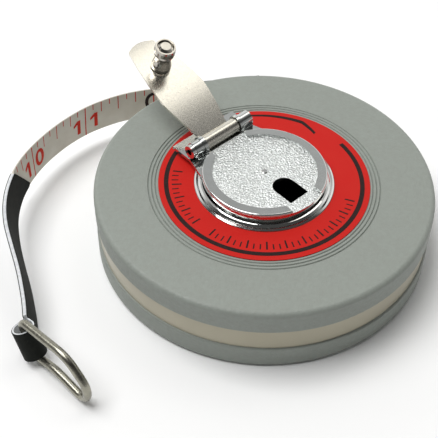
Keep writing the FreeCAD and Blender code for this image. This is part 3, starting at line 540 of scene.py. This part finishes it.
def line_marks():
    """Eighth-inch lines down from the tape's upper edge, cut into rows so that they follow the tape."""
    upper = TAPE_HALF - 0.1
    first, last = 0.6, LEADER_START - 0.4
    lines = []
    for eighth in range(-3, 30):
        along = TEN_INCH - eighth * INCH / 8
        if not first < along < last:
            continue
        reach = LINE_REACH[eighth % 8]
        half = (0.42 if eighth % 8 == 0 else 0.3) / 2
        rows = max(1, round(reach / 2))
        for row in range(rows):
            top = upper - reach * row / rows
            low = upper - reach * (row + 1) / rows
            lines.append([(along - half, low), (along + half, low), (along + half, top),
                          (along - half, top)])
    return lines


def numeral_marks():
    """The numbers 10 and 11, whose first digit is nearer the ring."""
    spacing, drop = 3.5, 0.9
    digits = []
    for inches, text in ((10, "10"), (11, "11")):
        along = TEN_INCH - (inches - 10) * INCH
        for side, digit in zip((1, -1), text):
            for face in numeral_one() if digit == "1" else glyph_faces(digit, 9.4, 0.2):
                digits.append([(along + side * spacing - x, y - drop) for x, y in face])
    return digits


def foot_marks():
    """A dark oval ring at the foot line, two inches on from the 10."""
    foot, rise, steps = TEN_INCH - 2 * INCH, 0.8, 32
    oval = []
    for step in range(steps):
        turns = [math.tau * (step + more) / steps for more in (0, 1)]
        outer, inner = ([(foot + wide * math.cos(turn), rise + high * math.sin(turn)) for turn in turns]
                        for wide, high in ((3.1, 4.2), (1.9, 2.9)))
        oval.append([outer[0], outer[1], inner[1], inner[0]])
    return oval


def add_print(looks):
    """The tape's lines, numerals and foot mark, just above its face."""
    lift = TAPE_THICK / 2 + 0.03
    marks = [flat_marks("tape_lines", ribbon, line_marks(), looks["ink_red"], lift),
             flat_marks("tape_numerals", ribbon, numeral_marks(), looks["ink_red"], lift),
             flat_marks("foot_mark", ribbon, foot_marks(), looks["ink_black"], lift + 0.02)]
    for piece, slot in zip(marks, ("tape_white", "tape_white", "leader_black")):
        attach(piece, "case")
    return marks


def add_leader(looks):
    """Two dark layers on the folded tape end."""
    layers = []
    for name, side in (("leader_inner", 1), ("leader_outer", -1)):
        low, high = sorted((side * FOLD_THICK / 2, side * (FOLD_THICK / 2 + LEADER_THICK)))
        rings = strip(ribbon, LEADER_START, ribbon.total, leader_half, low, high, 0.6, LEADER_SLANT)
        piece = new_piece(name, *swept(rings), looks["leader"])
        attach(piece, "case")
        layers.append(piece)
    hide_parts("leader_strip")
    return layers


def drop_outline(radius, cusp):
    """Points of a drop: a round part about the origin and straight sides towards a blunt cusp on +X."""
    steps = 40
    reach = math.acos(radius / cusp)
    turns = [reach + (math.tau - 2 * reach) * step / steps for step in range(steps + 1)]
    outline = [(math.cos(turn) * radius, math.sin(turn) * radius) for turn in turns]
    x, y = outline[0]
    lead = [(cusp + (x - cusp) * share, y * share) for share in (0.12, 0.35, 0.6, 0.8)]
    tail = [(x, -y) for x, y in reversed(lead)]
    return lead + outline + tail


def add_loop(looks):
    """The folded end round the ring's bar: a dark skin outside a pale lining."""
    centre = LOOP_TOP + LOOP_AXIS * LOOP_LENGTH / 2
    join = Vector(ROUTE[-1][0]) - centre
    join = (join - LOOP_AXIS * join.dot(LOOP_AXIS)).normalized()
    side = LOOP_AXIS.cross(join)
    layers = (("loop_skin", SKIN_OUTSIDE, SKIN_INSIDE, 0.0, "leader", "leader_black"),
              ("loop_lining", LINING_OUTSIDE, LINING_INSIDE, LINING_OVERHANG, "core", "tape_white"))
    pieces = []
    for name, outer, inner, extra, look, slot in layers:
        rings = []
        for far, near in zip(drop_outline(*outer), drop_outline(*inner)):
            ring = []
            for (x, y), ends in ((far, (0, 1)), (near, (1, 0))):
                for end in ends:
                    along = (end - 0.5) * (LOOP_LENGTH + extra)
                    ring.append(centre + join * x + side * y + LOOP_AXIS * along)
            rings.append(ring)
        piece = new_piece(name, *swept(rings), looks[look])
        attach(piece, "case")
        pieces.append(piece)
    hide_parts("end_loop")
    return pieces


# ---- printed label ---------------------------------------------------------------------------------
def label_sector(inner, outer, start, end, high, steps=2.0):
    """Quads of a ring sector in degrees; inner and outer may be (from, to) pairs that taper."""
    count = max(1, round(abs(end - start) / steps))
    quads = []
    for index in range(count):
        corners = []
        for share, radii in ((index / count, (inner, outer)), ((index + 1) / count, (outer, inner))):
            turn = math.radians(start + (end - start) * share)
            for radius in radii:
                low, top = radius if isinstance(radius, tuple) else (radius, radius)
                size = low + (top - low) * share
                corners.append((size * math.cos(turn), size * math.sin(turn), high))
        quads.append(corners)
    return quads


def add_label_print(looks):
    """Plain dark arcs near the label's edge, with dial divisions inside them."""
    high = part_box("label_ring")[1][2] / MM + 0.02
    arc_inner, arc_outer, dial = 29.2, 30.6, 28.2
    quads = label_sector(arc_inner, arc_outer, 158, 398, high)
    quads += label_sector((30.0, arc_inner), arc_outer, 112, 68, high)
    quads += label_sector((arc_inner, 26.9), (arc_outer, 27.9), 68, 56, high)
    for first, last in ((176, 226), (238, 346)):
        for index, turn in enumerate(range(first, last + 1, 4)):
            half, reach = (0.55, 3.0) if index % 3 == 0 else (0.42, 2.0)
            quads += label_sector(dial - reach, dial, turn - half, turn + half, high, 1.0)
    points, faces = [], []
    for quad in quads:
        faces.append(tuple(range(len(points), len(points) + 4)))
        points += quad
    piece = new_piece("label_print", points, faces, looks["ink_black"])
    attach(piece, "case")


# ---- build -----------------------------------------------------------------------------------------
NODE_LOOKS = {
    "case": ["lower_shell", "upper_shell"], "band": ["rim_band"], "label": ["label_ring"],
    "chrome": ["hub_flange", "hinge_pin", "disc_rivet"], "disc": ["crank_disc"],
    "nickel": ["crank_leaf"], "knob": ["knob_stud", "winding_knob"], "wire": ["end_ring"],
    "brass": ["base_bush"], "plastic": ["mouth_frame", "base_cap", "reel_drum"], "felt": ["drag_washer"],
    "tape": ["tape_run", "tape_coil"],
    "steel": ["case_screws", "inner_roller_pin", "outer_roller_pin", "inner_roller", "outer_roller",
              "lower_reel_plate", "upper_reel_plate", "tape_anchor", "spindle", "thrust_washer",
              "retaining_clip"],
}


def add_floor():
    """A white floor just under the case, in metres."""
    half, gap = 2.0, 0.00005
    mesh = bpy.data.meshes.new("floor")
    mesh.from_pydata([(-half, -half, 0), (half, -half, 0), (half, half, 0), (-half, half, 0)], [],
                     [(0, 1, 2, 3)])
    floor = bpy.data.objects.new("floor", mesh)
    bpy.context.collection.objects.link(floor)
    floor.location.z = -gap
    surface = Surface("floor_white", (0.97, 0.97, 0.97, 1), 0.8)
    mesh.materials.append(surface.material)


add_camera(place=(0.0, -218.4, 237.8), yaw=-0.0625, pitch=0.8155, roll=0.0113, lens=82.19)
add_world(behind=[(0.56, 0.95), (0.66, 0.50), (0.95, 0.34)],
          front=[(0.0, 0.34), (0.34, 0.30), (0.5, 0.06)], change=(0.08, 0.35))
add_area_light("key", (-0.55, 0.05, 1.4), (0, 0, 0), size=(1.0, 1.0), power=20.0)
add_area_light("sheen", (0.28, 0.62, 1.2), (0, 0, 0), size=(0.52, 0.52), power=1.25,
               color=(1.0, 0.98, 0.92))
bpy.context.scene.view_settings.view_transform = "Standard"
looks = make_surfaces()
for look, names in NODE_LOOKS.items():
    for name in names:
        dress(nodes[name], looks[look])
tape = add_tape(looks)
marks = add_print(looks)
layers = add_leader(looks)
loop = add_loop(looks)
add_label_print(looks)
add_floor()
